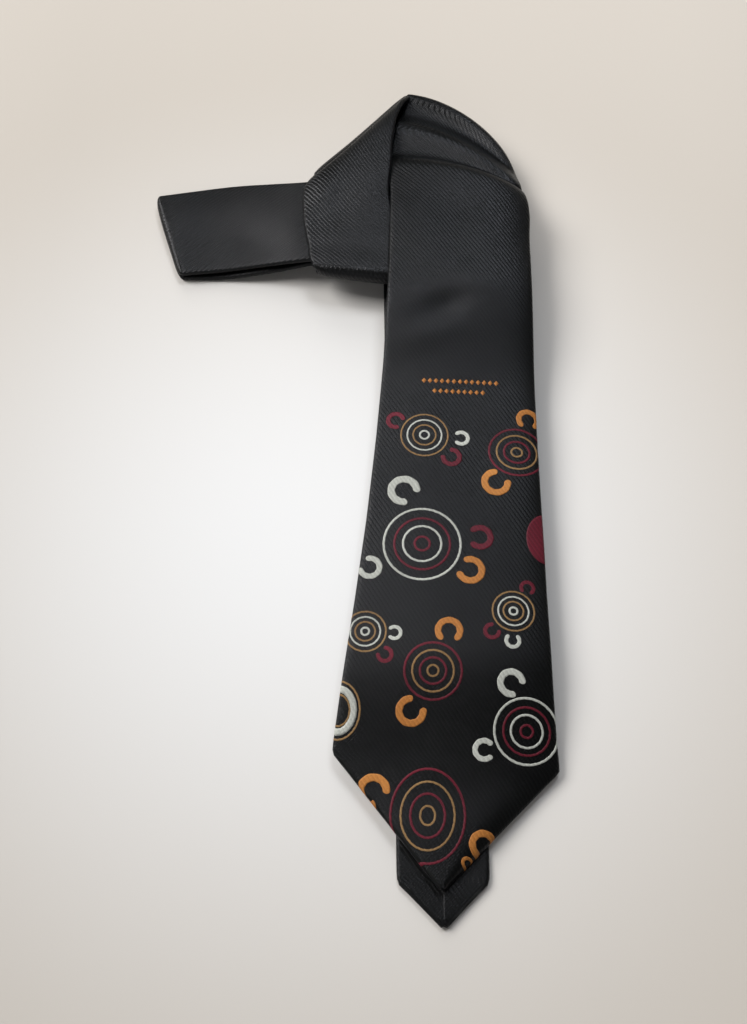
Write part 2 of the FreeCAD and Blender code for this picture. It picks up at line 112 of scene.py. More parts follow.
# Sections of the rest of the strip: the left end, the right end and, where it isn't between them, the middle.
OVER_CREST = [
    ((7, 128, 18.2), (68.8, 126, 17.6), (38, 127, 19.2)),
    ((7.4, 143, 18), (69.6, 137, 17.6), (38.4, 141, 19.5)),
    ((7.5, 152, 17.4), (69.5, 142, 17.6), (38.2, 149, 19.8)),
    ((6.8, 162, 16.6), (69, 146.5, 17.6), (38, 156.6, 20)),
    ((6.4, 169, 15.8), (68, 150.2, 17.2), (38, 162.6, 19.7)),
    ((6.8, 173, 13.4), (67.6, 152.4, 15.6), (38.3, 166.2, 15.2)),
    ((7.8, 177, 12), (67.4, 153.6, 14.2), (38.8, 169, 13.2)),
    ((9.2, 184, 13.6), (67.2, 155.2, 14.2), (38.8, 174.2, 15.2)),
    ((10.6, 191.5, 14.8), (67, 156.8, 14), (38.2, 180, 16.2)),
    ((12.6, 198, 11.8), (66.8, 159, 13), (40, 185, 12.2)),
    ((14.6, 204, 10.2), (66.4, 161.6, 11.8), (42.4, 189.6, 10.2)),
    ((15.4, 211, 13.2), (65.4, 165.6, 10.8), (44.2, 194.2, 13.4)),
]
BAND = at_level(
    2, ((15.8, 210.8), (64.6, 166.2), (43.8, 193.8)), ((16.6, 210.6), (34, 168)),
    ((17.4, 210), (-23.8, 163), (-1.3, 186.4)),
)
WRAP = [
    ((17, 209.6, 13.6), (-26.5, 161, 14.2), (-3.1, 184.6, 14.6)),
    ((13.8, 204, 16.6), (-30.2, 156, 14.2), (-7.6, 179.2, 16.6)),
    ((10.6, 194, 18.4), (-31.4, 150.4, 14.2), (-10, 172.2, 17.6)),
    ((8.6, 180, 19), (-31.4, 144, 14.2), (-11.4, 163.6, 17.8)),
    ((7.9, 166, 18.8), (-30.9, 136.4, 14.2), (-11.6, 152, 17.2)),
    ((6.9, 151, 17.4), (-29.8, 129, 14.2), (-11.4, 140.4, 16.4)),
    ((9, 136, 15.8), (-28.6, 122.4, 14.2), (-10, 129.4, 16)),
    ((11.2, 122, 15.2), (-28.2, 117.4, 14.2), (-8, 119.4, 15.8)),
    ((11.8, 107.5, 15), (-26.6, 112.6, 14), (-7, 109.6, 15.6)),
]
WRAP_BACK = at_level(3, ((13, 107.6), (-25.4, 112.8)), ((24.9, 126.8), (-5.5, 166.7)))
LOOP_TOP = [
    ((23.4, 128.7, LEVEL[4]), (-7, 165, LEVEL[4])),
    ((-14, 117.4, LEVEL[4]), (-18, 161.6, LEVEL[4])),
    ((-30, 116.4, 11.3), (-31, 160.6, 11.3), (-30.6, 139, 11.9)),
    ((-46, 116.8, 7.9), (-46.4, 162, 8.1), (-46, 139, 8.8)),
    ((-64, 116.2, 4.7), (-66.8, 162.8, 4.8), (-65.4, 139, 5.4)),
    ((-84.8, 114.8, LEVEL[1]), (-98.6, 158.6, LEVEL[1]), (-91.6, 136.6, 4.3)),
]
LOOP_BACK = [
    ((-84.8, 114.4, LEVEL[0]), (-98.4, 158, LEVEL[0])),
    ((-66, 114.4, LEVEL[0] + 0.2), (-68, 160, LEVEL[0] + 0.2)),
    ((-46, 115.4, 4.4), (-46, 161.5, 4.4)),
    ((-26, 118.2, LEVEL[2]), (-26, 162, LEVEL[2])),
    ((0.7, 121.9, LEVEL[2]), (38.7, 163, LEVEL[2])),
]
UP_PASS = at_level(1, ((3.9, 125.4), (41.9, 166.5)), ((3.9, 176), (41.9, 176)))
DOWN_PASS = at_level(0, ((3.9, 176), (41.9, 176)), ((6.2, -60), (43.2, -60)))
LAST_UP_PASS = at_level(1, ((6.2, -60), (43.2, -60)), ((6.7, TAIL_TOP), (42.7, TAIL_TOP)))
# Soft dents and swells: the middle, the reach along and across their heading in degrees, and the rise.
DENTS = {
    "front": [
        ((30, 88), (11, 4.5), 28, -1.5), ((44, 98), (9, 6), 30, 0.8), ((20, 78), (10, 6), 20, 0.8),
        ((37, 141), (6, 9), 80, -0.5), ((22, 128), (14, 9), 100, 0.5), ((50, 128), (14, 9), 80, 0.6),
        ((22, 40), (16, 10), 60, 0.5), ((44, 20), (18, 9), 110, -0.5), ((16, -30), (20, 12), 80, 0.4),
        ((40, -70), (22, 14), 100, 0.5),
    ],
    "wrap": [
        ((-4, 150), (14, 6), 62, 0.5), ((-16, 140), (12, 6), 55, -0.5), ((-22, 152), (10, 4), 95, 0.5),
        ((-12, 120), (14, 4), 0, -0.4),
    ],
    "loop_top": [
        ((-78, 130), (9, 7), 70, -0.7), ((-52, 130), (7, 9), 60, -0.7), ((-66, 150), (10, 6), 20, 0.4),
        ((-88, 148), (8, 6), 60, 0.4),
    ],
}
FOLD_HEADINGS = {
    "front": 46.0, "band": 137.5, "wrap": -101.0, "wrap_back": 37.0, "loop_top": 197.6, "loop_back": -42.8,
    "up_pass": 90.0, "down_pass": -90.0, "last_up_pass": 90.0,
}  # which way the fold after each stretch points

# The back of the tie: hems, openings over the lining, seams, labels and the keeper.
HEM = 9.0
MITRE = 1.41  # how far a hem reaches up the middle of a point, as a share of its width
WINDOW_SLANT = 0.93  # how fast the openings widen from the tip
WINDOW_TOP = 96.0
WINDOW_HALF = 35.0
TAIL_HEM = 11.0
TAIL_WINDOW_TOP = 60.0
TAIL_WINDOW_HALF = 13.0
SEAM_SHARE = 0.78  # of the stretch behind the stub, and of the long pass down: where the panels are joined
SEAM_ROWS = 0.7  # how many rows a seam's ridge covers
STITCH_STEP = 6.0
STITCH_LENGTH = 2.8
STITCH_LEAN = 0.5  # how far a slip stitch slants to each side
NECK_STITCH_ROWS = (1.6, 3.6)  # the neck's slip stitches: their length and step, in rows
SLIP_GAP = 5.0  # from an opening's top to the first slip stitch
CREASE_Y = 146.0  # where the front blade turns down behind its crest
TACK_STEP = 0.27  # between the threads of a bar tack
THREAD = 0.17
THREAD_SIDES = 7
THREAD_STEPS = 7
SLIP_HEIGHT = -0.05  # heights off the cloth, which are negative on side B
TACK_HEIGHT = -0.12
BLADE_TACK = (8.0, 1.8)  # a bar tack's width and length
TAIL_TACK = (6.0, 1.6)
TACK_GAP = 0.5  # from an opening's top
LINING_HEIGHTS = (-0.01, -0.11)
KEEPER_HEIGHTS = (-0.02, -0.5)
KEEPER_ROOM = 0.3  # how far its middle stands off
STRAP_TURN = math.pi / 2  # of its ribs, against the tie's
KEEPER_STITCHES = (-6.5, 5.0, 2.7)  # along its ends: from, to and step
LABEL_HEIGHTS = (-0.1, -0.38)
CARE_HEIGHTS = (-0.02, -0.26)
KEEPER_SIZE = (52.0, 15.0)
KEEPER_Y = 8.0
LABEL_SIZE = (40.0, 22.0)
LABEL_Y = -18.0
CARE_SIZE = (16.0, 24.0)
CARE_PLACE = (-17.0, -62.0)

# Camera, at the height of a person who looks down at a table.
CAMERA_TILT = 25.0
CAMERA_DISTANCE = 482.0
CAMERA_LENS = 41.52
FLOOR_GLOW_REACH = 0.26  # how far, in metres, the painted pool of light round the floor's middle reaches
FLOOR_SHADE = (-0.12, 0.18, 0.79, 0.94)  # from and to, in metres across the floor, and how light it is there: painted shade, darker to the left

# ---------------------------------------------------------------- the woven pattern

# The rings of each kind of target: thread, radius as a share of the outermost one, and width in millimetres.
TAN_WHITE = [("tan", 1.0, 0.65), ("white", 0.74, 0.65), ("tan", 0.5, 0.65), ("white", 0.23, 0.8)]
MAROON_TAN = [("maroon", 1.0, 0.85), ("tan", 0.73, 0.75), ("maroon", 0.48, 0.85), ("tan", 0.22, 0.75)]
WHITE_MAROON = [("white", 1.0, 0.9), ("maroon", 0.73, 0.85), ("white", 0.51, 0.85), ("maroon", 0.22, 0.9)]
PALE_RIM = [("tan", 1.08, 0.7), ("white", 0.9, 2.6), ("tan", 0.6, 0.7)]
# Targets: distance from the tip, right of the axis, radius along, radius across, and their rings.
TARGETS = [
    (178, -11.6, 9.8, 9.8, TAN_WHITE), (172.5, 26, 10.8, 11.6, MAROON_TAN),
    (129.6, -11.1, 15.4, 15.4, WHITE_MAROON), (93, -31.5, 8.2, 8.2, TAN_WHITE),
    (78.7, -5.5, 11.1, 11.1, MAROON_TAN), (103.6, 24.4, 8.3, 8.3, TAN_WHITE),
    (58.5, 29.6, 12.4, 12.4, WHITE_MAROON), (26.5, -5.8, 17.2, 13.8, MAROON_TAN),
    (62.9, -40.1, 10.1, 7.8, PALE_RIM),
]
# Open rings: thread, distance from the tip, right of the axis, radius, and which way the opening points, in
# degrees anticlockwise from the right edge's side.
OPEN_RINGS = [
    ("maroon", 184.4, -23.5, 4, -30), ("white", 177.5, 3.4, 3.5, 180), ("maroon", 168.5, -0.5, 4.3, 135),
    ("gold", 188.1, 30.6, 4.9, -90), ("gold", 158.3, 17.7, 6, 50), ("white", 152.5, -19, 6.6, -40),
    ("maroon", 133.6, 11.5, 5.3, 180), ("gold", 119.5, 7.8, 5.8, 157), ("white", 119.1, -31, 4.9, 150),
    ("white", 92.8, -20.4, 3, 180), ("maroon", 84.2, -23.7, 3.3, 135), ("gold", 94.4, 0.1, 5.4, -90),
    ("gold", 63.7, -13.1, 5.8, 50), ("maroon", 113.7, 29.8, 3.1, -100), ("maroon", 95, 16.3, 3.4, 45),
    ("white", 91.7, 24.1, 3.2, 90), ("white", 75.6, 23.7, 5.4, -35), ("white", 51, 14.1, 4.3, 0),
    ("gold", 34.6, -25.7, 6.2, -45), ("gold", 17.4, 14.2, 5.2, -80), ("gold", 11, 8.4, 2.2, -60),
]
OPENING = 66.0
BAND_SHARE = 0.46  # an open ring's width, as a share of its radius
DISC = ("maroon", 135.3, 37.8, 10.7, 8.2)
# Two rows of small lozenges: distance from the tip, from and to across.
LOZENGE_ROWS = [(204, -12.5, 18), (199.2, -8, 13.4)]
LOZENGE_STEP = 2.5
LOZENGE_SIZE = (2.3, 1.9)
WOVEN_HEIGHT = 0.045

# ---------------------------------------------------------------- from the drawing to the row frame


def drawing_origin():
    """Where the drawing's origin lies in the row frame, from the tail's tip and middle."""
    low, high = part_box("tail_shell")
    return np.array([(low.x + high.x) * 500 - CAD_TAIL[0], low.y * 1000 - CAD_TAIL[1], FLOOR_GAP])


ORIGIN = drawing_origin()


def metres(points):
    return (np.asarray(points, float) + ORIGIN) / 1000


def place(x, y, z):
    """A point of the drawing, in metres in the row frame."""
    return Vector(metres([x, y, z]))


# ---------------------------------------------------------------- the strip's middle surface


def unit(vectors):
    return vectors / np.maximum(np.linalg.norm(vectors, axis=-1, keepdims=True), 1e-9)


def ease(share):
    share = np.clip(share, 0, 1)
    return share * share * (3 - 2 * share)


def eased(at, knots):
    """A height that is level at each knot and eases from one to the next."""
    xs = np.array([k[0] for k in knots], float)
    zs = np.array([k[1] for k in knots], float)
    i = np.clip(np.searchsorted(xs, at) - 1, 0, len(xs) - 2)
    return zs[i] + (zs[i + 1] - zs[i]) * ease((at - xs[i]) / (xs[i + 1] - xs[i]))


def columns():
    """Places across a row, from -1 at the left edge to 1 at the right, with a close pair at the seam."""
    side = np.linspace(0.012, 1, COLUMNS // 2)
    return np.concatenate([-side[::-1], side])


F = columns()
BLADE_S = np.concatenate([[1.9], np.arange(3.2, BLADE_LENGTH, ROW_STEP)])
TAIL_S = np.concatenate([np.arange(TAIL_TOP - TAIL_TIP, 3.2, -ROW_STEP), [1.9]])


def blade_edges(s):
    """How far the middle surface reaches to the left and to the right of the blade's axis."""
    inset = HALF * np.interp(s, [40, 52], [1.37, 1.0])
    left = np.interp(s, *zip(*LEFT_EDGE)) - inset
    right = np.interp(s, *zip(*RIGHT_EDGE)) - inset
    return np.maximum(left, 0.15), np.maximum(right, 0.15)


def tail_half(s):
    """Half the width of the tail's middle surface, at a distance from its tip."""
    share = (s - TAIL_TIP_DEPTH) / (TAIL_TOP - TAIL_TIP - TAIL_TIP_DEPTH)
    straight = TAIL_HALF_TIP + (TAIL_HALF_TOP - TAIL_HALF_TIP) * share
    inset = HALF * np.interp(s, [13, 20], [1.41, 1.0])
    return np.maximum(np.minimum(straight, s) - inset, 0.15)


def section_row(left, right, middle=None):
    left, right = np.array(left, float), np.array(right, float)
    inset = unit(right - left) * HALF
    left, right = left + inset, right - inset
    middle = (left + right) / 2 if middle is None else np.array(middle, float)
    f = F[:, None]
    return middle + f * (right - left) / 2 + f * f * ((left + right) / 2 - middle)


def loft(sections, before=None):
    """Rows through the sections, on a smooth curve, which may go on from an earlier row."""
    keys = [section_row(*s) for s in sections]
    keys = np.array(keys if before is None else [before] + keys)
    centre = keys[:, len(F) // 2]
    gaps = np.maximum(np.linalg.norm(np.diff(centre, axis=0), axis=1), 0.5)
    at = np.concatenate([[0], np.cumsum(gaps)])
    straight = len(keys) == 2
    slopes = np.diff(keys, axis=0)[[0, 0]] / gaps[0] if straight else np.gradient(keys, at, axis=0)
    rows = []
    for i, gap in enumerate(gaps):
        for u in np.arange(0, 1, 1 / max(2, round(gap / ROW_STEP))):
            v = ease(u)
            bend = gap * (u * (1 - u) ** 2 * slopes[i] - u * u * (1 - u) * slopes[i + 1])
            rows.append(keys[i] * (1 - v) + keys[i + 1] * v + bend)
    rows.append(keys[-1])
    return np.array(rows if before is None else rows[1:])


def fold(before, after, heading, rounding):
    """Rows round a soft fold that bulges towards heading, between two stretches."""
    start, end = before[-1], after[0]
    out = np.array([math.cos(math.radians(heading)), math.sin(math.radians(heading)), 0])
    rows = []
    for turn in np.linspace(0, math.pi, FOLD_ROWS + 2)[1:-1]:
        row = start + (end - start) * turn / math.pi
        row[:, 2] = start[:, 2] + (end[:, 2] - start[:, 2]) * (1 - math.cos(turn)) / 2
        corner = np.abs(F[:, None]) ** 7 * math.sin(turn)
        bulge = np.abs(end[:, 2:] - start[:, 2:]) / 2 * (math.sin(turn) - 0.35 * corner)
        inward = unit(row[-1] - row[0]) * -np.sign(F[:, None])
        rows.append(row + out * bulge + inward * corner * rounding)
    return np.array(rows)


def blade_rows():
    """The front blade from its tip, told by its edges."""
    rows = []
    for s in BLADE_S:
        left, right = blade_edges(s)
        t = (right - left) / 2 + F * (left + right) / 2
        plan = TIP + ALONG * s + ACROSS * t[:, None]
        crown = BLADE_CROWN * (0.6 - (t / CROWN_REACH) ** 2)
        rows.append(np.column_stack([plan, eased(plan[:, 1], BLADE_RISE) + crown]))
    return np.array(rows)


def tail_rows():
    """The tail from its last fold down to its tip."""
    rows = []
    for s in TAIL_S:
        y = np.full(len(F), TAIL_TIP + s)
        rows.append(np.column_stack([TAIL_X + F * tail_half(s), y, eased(y, TAIL_RISE)]))
    return np.array(rows)


def relaxed(rows, passes, first):
    """The same rows with their creases softened along the strip, from the first row on."""
    for _ in range(passes):
        rows[first + 1:-1] = (rows[first:-2] + 2 * rows[first + 1:-1] + rows[first + 2:]) / 4
    return rows


def dented(name, rows):
    """A stretch with its own soft dents and swells."""
    for middle, (reach, breadth), heading, rise in DENTS.get(name, ()):
        x, y = rows[..., 0] - middle[0], rows[..., 1] - middle[1]
        cos, sin = math.cos(math.radians(heading)), math.sin(math.radians(heading))
        along, across = (x * cos + y * sin) / reach, (y * cos - x * sin) / breadth
        rows[..., 2] += rise * np.exp(-(along ** 2 + across ** 2) / 2)
    return rows


def rumpled(rows):
    """The same rows with the long shallow waves of cloth that was handled, alike in every layer."""
    x, y = rows[..., 0], rows[..., 1]
    wave = np.sin(x / 13 + y / 29 + 0.6) + np.sin(y / 17 - x / 31 + 2.1) + 0.6 * np.sin((x + y) / 7.5 + 1.3)
    rows[..., 2] += 0.11 * (wave + 2.6) * np.clip((y + 120) / 60, 0, 1)
    return rows


def whole_strip():
    """Every row of the tie, with the number of the row at which each stretch starts."""
    blade = blade_rows()
    front = relaxed(np.concatenate([blade, loft(OVER_CREST, before=blade[-1])]), 3, first=60)
    front[..., 2] -= EDGE_DROP * np.maximum(F, 0) ** 5
    stretches = {
        "front": front, "band": loft(BAND), "wrap": loft(WRAP), "wrap_back": loft(WRAP_BACK),
        "loop_top": loft(LOOP_TOP), "loop_back": loft(LOOP_BACK), "up_pass": loft(UP_PASS),
        "down_pass": loft(DOWN_PASS), "last_up_pass": loft(LAST_UP_PASS), "tail": tail_rows(),
    }
    names = list(stretches)
    starts, parts = {}, []
    for name, following in zip(names, names[1:] + [None]):
        starts[name] = sum(len(p) for p in parts)
        parts.append(dented(name, stretches[name]))
        if following:
            rounding = PEAK_ROUNDING if name in ("front", "band") else FOLD_ROUNDING
            parts.append(fold(stretches[name], stretches[following], FOLD_HEADINGS[name], rounding))
    return rumpled(np.concatenate(parts)), starts


class Strip:
    """The tie's middle surface, with its normals, its edges' outward directions and its flat sizes."""

    def __init__(self):
        self.rows, self.starts = whole_strip()
        forward = np.gradient(self.rows, axis=0)
        rightward = np.gradient(self.rows, axis=1)
        self.normal = unit(np.cross(rightward, forward))
        self.out_left = unit(np.cross(self.normal[:, 0], forward[:, 0]))
        self.out_right = unit(np.cross(forward[:, -1], self.normal[:, -1]))
        centre = self.rows.mean(axis=1)
        steps = np.linalg.norm(np.diff(centre, axis=0), axis=1)
        self.s = np.concatenate([[0], np.cumsum(steps)])
        travel = unit(np.gradient(centre, axis=0))
        row = self.rows[:, -1] - self.rows[:, 0]
        self.skew = (row * travel).sum(axis=1) / 2
        self.skew[:len(BLADE_S)] = 0
        self.skew[self.starts["tail"]:] = 0
        self.half_width = np.sqrt(np.maximum((row ** 2).sum(axis=1) / 4 - self.skew ** 2, 0.01))
        self.back = self.back_rise()

    def back_rise(self):
        """How far side B stands off the plain thickness: down over linings, up where the flaps overlap."""
        rise = FLAP_RISE * np.where(F > 0, 1 - 0.85 * F, 0)[None] * np.ones((len(self.rows), 1))
        for first, along, edge, top, half, hem in (
            (0, BLADE_S, blade_edges(BLADE_S)[0], WINDOW_TOP, WINDOW_HALF, HEM),
            (self.starts["tail"], TAIL_S, tail_half(TAIL_S), TAIL_WINDOW_TOP, TAIL_WINDOW_HALF, TAIL_HEM),
        ):
            side = np.abs(F)[None] * edge[:, None]
            inside = (window_half(along, top, half, hem)[:, None] - side) * 0.75
            mitre = 0.6 * ease((hem * MITRE - along) / 2)
            overlap = np.maximum(ease((along - top) / 12), mitre)[:, None]
            rows = slice(first, first + len(along))
            rise[rows] = rise[rows] * overlap - WINDOW_DEPTH * ease(inside / 1.6)
        return rise

    def narrowed(self, inset):
        """The rows with both ends drawn in by inset."""
        share = 1 - inset / np.maximum(self.half_width, inset + 0.3)
        middle = (self.rows[:, :1] + self.rows[:, -1:]) / 2
        ends = (self.rows[:, -1:] - self.rows[:, :1]) / 2
        bow = self.rows - middle - F[None, :, None] * ends
        return middle + F[None, :, None] * share[:, None, None] * ends + bow


def window_half(s, top, half, hem):
    """Half the width of the opening over a lining, between its hem and the place where the flaps meet."""
    return np.minimum((s - hem * MITRE) * WINDOW_SLANT, half * (top - s) / (top - half * 1.08 - hem))


STRIP = Strip()

# ---------------------------------------------------------------- meshes


def mesh_object(name, vertices, faces, uvs, material):
    mesh = bpy.data.meshes.new(name)
    mesh.from_pydata([tuple(v) for v in metres(vertices)], [], [tuple(f) for f in faces])
    layer = mesh.uv_layers.new(name="weave")
    layer.data.foreach_set("uv", np.asarray(uvs, float).ravel())
    mesh.materials.append(material)
    mesh.shade_smooth()
    mesh.update()
    piece = bpy.data.objects.new(name, mesh)
    bpy.context.scene.collection.objects.link(piece)
    return piece


SPLIT = len(F) // 2
EDGE_TURNS = np.radians([-60, -30, 0, 30, 60])
TIP_ROWS = int(np.searchsorted(BLADE_S, 49))  # rows of the pointed end
TAIL_TIP_ROWS = int((TAIL_S < TAIL_TIP_DEPTH + 1).sum())


def outlines(half, inset, back):
    """One outline for each row: side B's left flap, left edge, side A, right edge, side B's right flap."""
    rows = STRIP.narrowed(inset) if inset else STRIP.rows
    n = STRIP.normal
    side_b = rows - n * (half + back * STRIP.back)[..., None]

    def edge(column, out, turns):
        away = [out * math.cos(a) + n[:, column] * math.sin(a) for a in turns]
        return np.stack([rows[:, column] + half * direction for direction in away], axis=1)

    left = edge(0, STRIP.out_left, EDGE_TURNS)
    right = edge(-1, STRIP.out_right, EDGE_TURNS[::-1])
    parts = [side_b[:, :SPLIT][:, ::-1], left, rows + n * half, right, side_b[:, SPLIT:][:, ::-1]]
    return np.concatenate(parts, axis=1)


def flat_places(half):
    """How far each point of the outlines lies along and across the cloth when it is opened flat."""
    width = STRIP.half_width[:, None]
    full = width.copy()
    full[:TIP_ROWS] = width[TIP_ROWS]
    full[-TAIL_TIP_ROWS:] = width[-TAIL_TIP_ROWS]
    turn = math.pi * half
    arc = turn * (EDGE_TURNS + math.pi / 2)[None] / math.pi
    left_flap = -(2 * full + turn + F[None, :SPLIT][:, ::-1] * width)
    right_flap = 2 * full + turn - F[None, SPLIT:][:, ::-1] * width
    seam = 2 * full + turn + 0.012 * width
    face = F[None] * width
    across = np.concatenate([left_flap, arc - width - turn, face, width + arc, right_flap, seam], axis=1)
    turns = np.ones(len(EDGE_TURNS))
    share = np.concatenate([F[:SPLIT][::-1], -turns, F, turns, F[SPLIT:][::-1], [0]])
    along = STRIP.s[:, None] + share[None] * STRIP.skew[:, None]
    return np.stack([along, across], axis=-1) / UV_SIZE


class Skin:
    """Faces between outlines, gathered with the flat places of their corners."""

    def __init__(self):
        self.faces, self.uvs = [], []

    def add(self, corners, places, turned=False):
        self.faces.append(corners[::-1] if turned else corners)
        self.uvs += places[::-1] if turned else places

    def tube(self, flat, offset, around, inward=False):
        for j in range(len(flat) - 1):
            for i in range(around):
                a, b = offset + j * around + i, offset + j * around + (i + 1) % around
                places = [flat[j][i], flat[j][i + 1], flat[j + 1][i + 1], flat[j + 1][i]]
                self.add([a, b, b + around, a + around], places, not inward)

    def cap(self, flat, offset, around, turned):
        self.add([offset + i for i in range(around)], [flat[i] for i in range(around)], turned)

    def wall(self, flat, outer, inner, around, turned):
        for i in range(around):
            k = (i + 1) % around
            places = [flat[i], flat[i + 1], flat[i + 1], flat[i]]
            self.add([outer + i, outer + k, inner + k, inner + i], places, turned)


def hollow_piece(name, first, last, material):
    """The envelope of cloth between two rows: an outer skin, an inner one and the cut ends between them.

    The strip's own two ends are closed points, where the inner skin stops where it gets too narrow.
    """
    pointed = (first == 0, last == len(STRIP.rows) - 1)
    wide = np.flatnonzero(STRIP.half_width[first:last + 1] > 4)
    inner_first = first + (wide[0] if pointed[0] else 0)
    inner_last = first + wide[-1] if pointed[1] else last
    outer = outlines(HALF, 0, 1)[first:last + 1]
    inner = outlines(HALF - CLOTH, CLOTH, 0)[inner_first:inner_last + 1]
    around = outer.shape[1]
    base = len(outer) * around
    flat = flat_places(HALF)
    skin = Skin()
    skin.tube(flat[first:last + 1], 0, around)
    skin.tube(flat[inner_first:inner_last + 1], base, around, inward=True)
    ends = ((first, 0, base, False), (last, base - around, base + (len(inner) - 1) * around, True))
    for closed, (row, outer_at, inner_at, turned) in zip(pointed, ends):
        if closed:
            skin.cap(flat[row], outer_at, around, turned)
            skin.cap(flat[row], inner_at, around, not turned)
        else:
            skin.wall(flat[row], outer_at, inner_at, around, turned)
    vertices = np.concatenate([outer.reshape(-1, 3), inner.reshape(-1, 3)])
    return mesh_object(name, vertices, skin.faces, skin.uvs, material)


def core_piece(name, first, last, material):
    """The felt core between two rows."""
    rings = outlines(CORE_HALF, EDGE_CORE, 0)[first:last + 1]
    around = rings.shape[1]
    flat = flat_places(CORE_HALF)
    skin = Skin()
    skin.tube(flat[first:last + 1], 0, around)
    skin.cap(flat[first], 0, around, False)
    skin.cap(flat[last], (len(rings) - 1) * around, around, True)
    return mesh_object(name, rings.reshape(-1, 3), skin.faces, skin.uvs, material)


# ---------------------------------------------------------------- things laid on the strip


def on_strip(rows_at, f_at, height):
    """Points over the strip: rows_at is a row number with a fraction, and f_at a place across it.

    Positive heights stand off side A and negative ones off side B. A place beyond an edge goes round it.
    """
    rows_at = np.clip(rows_at, 0, len(STRIP.rows) - 1.001)
    height = np.broadcast_to(np.asarray(height, float), rows_at.shape)
    j = rows_at.astype(int)
    part = rows_at - j

    def along(grid):
        weight = part if grid.ndim == 1 else part[:, None]
        return grid[j] * (1 - weight) + grid[j + 1] * weight

    half_width = along(STRIP.half_width)
    beyond = np.maximum(np.abs(f_at) - 1, 0) * half_width
    turn = np.minimum(beyond / HALF, math.pi)
    past = np.maximum(beyond - math.pi * HALF, 0) / half_width
    inside = np.clip(f_at, -1, 1) - np.sign(f_at) * past
    column = np.interp(inside, F, np.arange(len(F)))
    i = np.clip(column.astype(int), 0, len(F) - 2)
    share = column - i

    def at(grid):
        weight, step = (part, share) if grid.ndim == 2 else (part[:, None], share[:, None])
        low = grid[j, i] * (1 - weight) + grid[j + 1, i] * weight
        high = grid[j, i + 1] * (1 - weight) + grid[j + 1, i + 1] * weight
        return low * (1 - step) + high * step

    out = np.where(f_at[:, None] > 0, along(STRIP.out_right), along(STRIP.out_left))
    behind = (height < 0) | (turn >= math.pi)
    reach = HALF + np.abs(height) + np.where(behind, at(STRIP.back), 0)
    facing = np.where(height < 0, -1, 1) * np.cos(turn)
    sideways = np.sin(turn) * reach
    return at(STRIP.rows) + unit(at(STRIP.normal)) * (facing * reach)[:, None] + out * sideways[:, None]


def blade_place(points):
    """Rows and places across for points of the front blade: distance from the tip, and right of the axis."""
    left, right = blade_edges(points[:, 0])
    rows = np.interp(points[:, 0], BLADE_S, np.arange(len(BLADE_S)))
    return rows, (points[:, 1] - (right - left) / 2) / ((left + right) / 2)


def tail_place(points):
    """The same for the tail: distance from the narrow tip, and right of the middle as seen from above."""
    rows = np.interp(-points[:, 0], -TAIL_S, np.arange(len(TAIL_S)))
    return STRIP.starts["tail"] + rows, points[:, 1] / tail_half(points[:, 0])


def strip_place(points):
    """The same for any stretch: a row number, and a place across it in millimetres."""
    return points[:, 0], points[:, 1] / np.interp(points[:, 0], np.arange(len(STRIP.rows)), STRIP.half_width)


def outward(bottom, top, faces):
    """The faces, turned so that they face from the bottom to the top."""
    a, b, c = (np.array([face[k] for face in faces]) for k in range(3))
    normals = np.cross(top[b] - top[a], top[c] - top[a])
    facing = (normals * (top[a] - bottom[a])).sum()
    return faces if facing > 0 else [face[::-1] for face in faces]


def slab(name, flat, faces, where, low, high, material, turn=0.0):
    """A thin piece on the strip: a flat mesh of points and faces, carried to two heights and closed round."""
    flat = np.array(flat, float)
    rows, f = where(flat)
    bottom, top = on_strip(rows, f, low), on_strip(rows, f, high)
    faces = outward(bottom, top, [list(face) for face in faces])
    count = len(flat)
    edges = {(a, b) for face in faces for a, b in zip(face, face[1:] + face[:1])}
    quads = [[v + count for v in face] for face in faces] + [face[::-1] for face in faces]
    quads += [[a, b, b + count, a + count] for a, b in sorted(edges) if (b, a) not in edges]
    both = np.concatenate([flat, flat])
    cos, sin = math.cos(turn), math.sin(turn)
    turned = np.column_stack([both[:, 0] * cos - both[:, 1] * sin, both[:, 0] * sin + both[:, 1] * cos])
    uvs = [turned[v] / UV_SIZE for face in quads for v in face]
    return mesh_object(name, np.concatenate([bottom, top]), quads, uvs, material)


def clipped_grid(corners, step):
    """Points and faces of a grid inside a convex outline, which goes anticlockwise in (along, right)."""
    corners = [Vector((s, t, 0)) for s, t in corners]
    low = [min(c[k] for c in corners) for k in (0, 1)]
    high = [max(c[k] for c in corners) for k in (0, 1)]
    count = [max(1, math.ceil((high[k] - low[k]) / step)) for k in (0, 1)]
    bm = bmesh.new()
    grid = [
        [bm.verts.new((s, t, 0)) for t in np.linspace(low[1], high[1], count[1] + 1)]
        for s in np.linspace(low[0], high[0], count[0] + 1)
    ]
    for i in range(count[0]):
        for j in range(count[1]):
            bm.faces.new((grid[i][j], grid[i + 1][j], grid[i + 1][j + 1], grid[i][j + 1]))
    for a, b in zip(corners, corners[1:] + corners[:1]):
        away = Vector(((b - a).y, -(b - a).x, 0))
        geometry = bm.verts[:] + bm.edges[:] + bm.faces[:]
        bmesh.ops.bisect_plane(bm, geom=geometry, plane_co=a, plane_no=away, clear_outer=True, dist=1e-5)
    bm.verts.index_update()
    points = [(v.co.x, v.co.y) for v in bm.verts]
    faces = [[v.index for v in f.verts] for f in bm.faces]
    bm.free()
    return points, faces


def rectangle(size, centre, step):
    """A grid over a rectangle, with its width across and its length along the strip."""
    (width, length), (s, t) = size, centre
    corners = [(s - length / 2, t - width / 2), (s + length / 2, t - width / 2),
               (s + length / 2, t + width / 2), (s - length / 2, t + width / 2)]
    return clipped_grid(corners, step)


# ---------------------------------------------------------------- the woven pattern's shapes


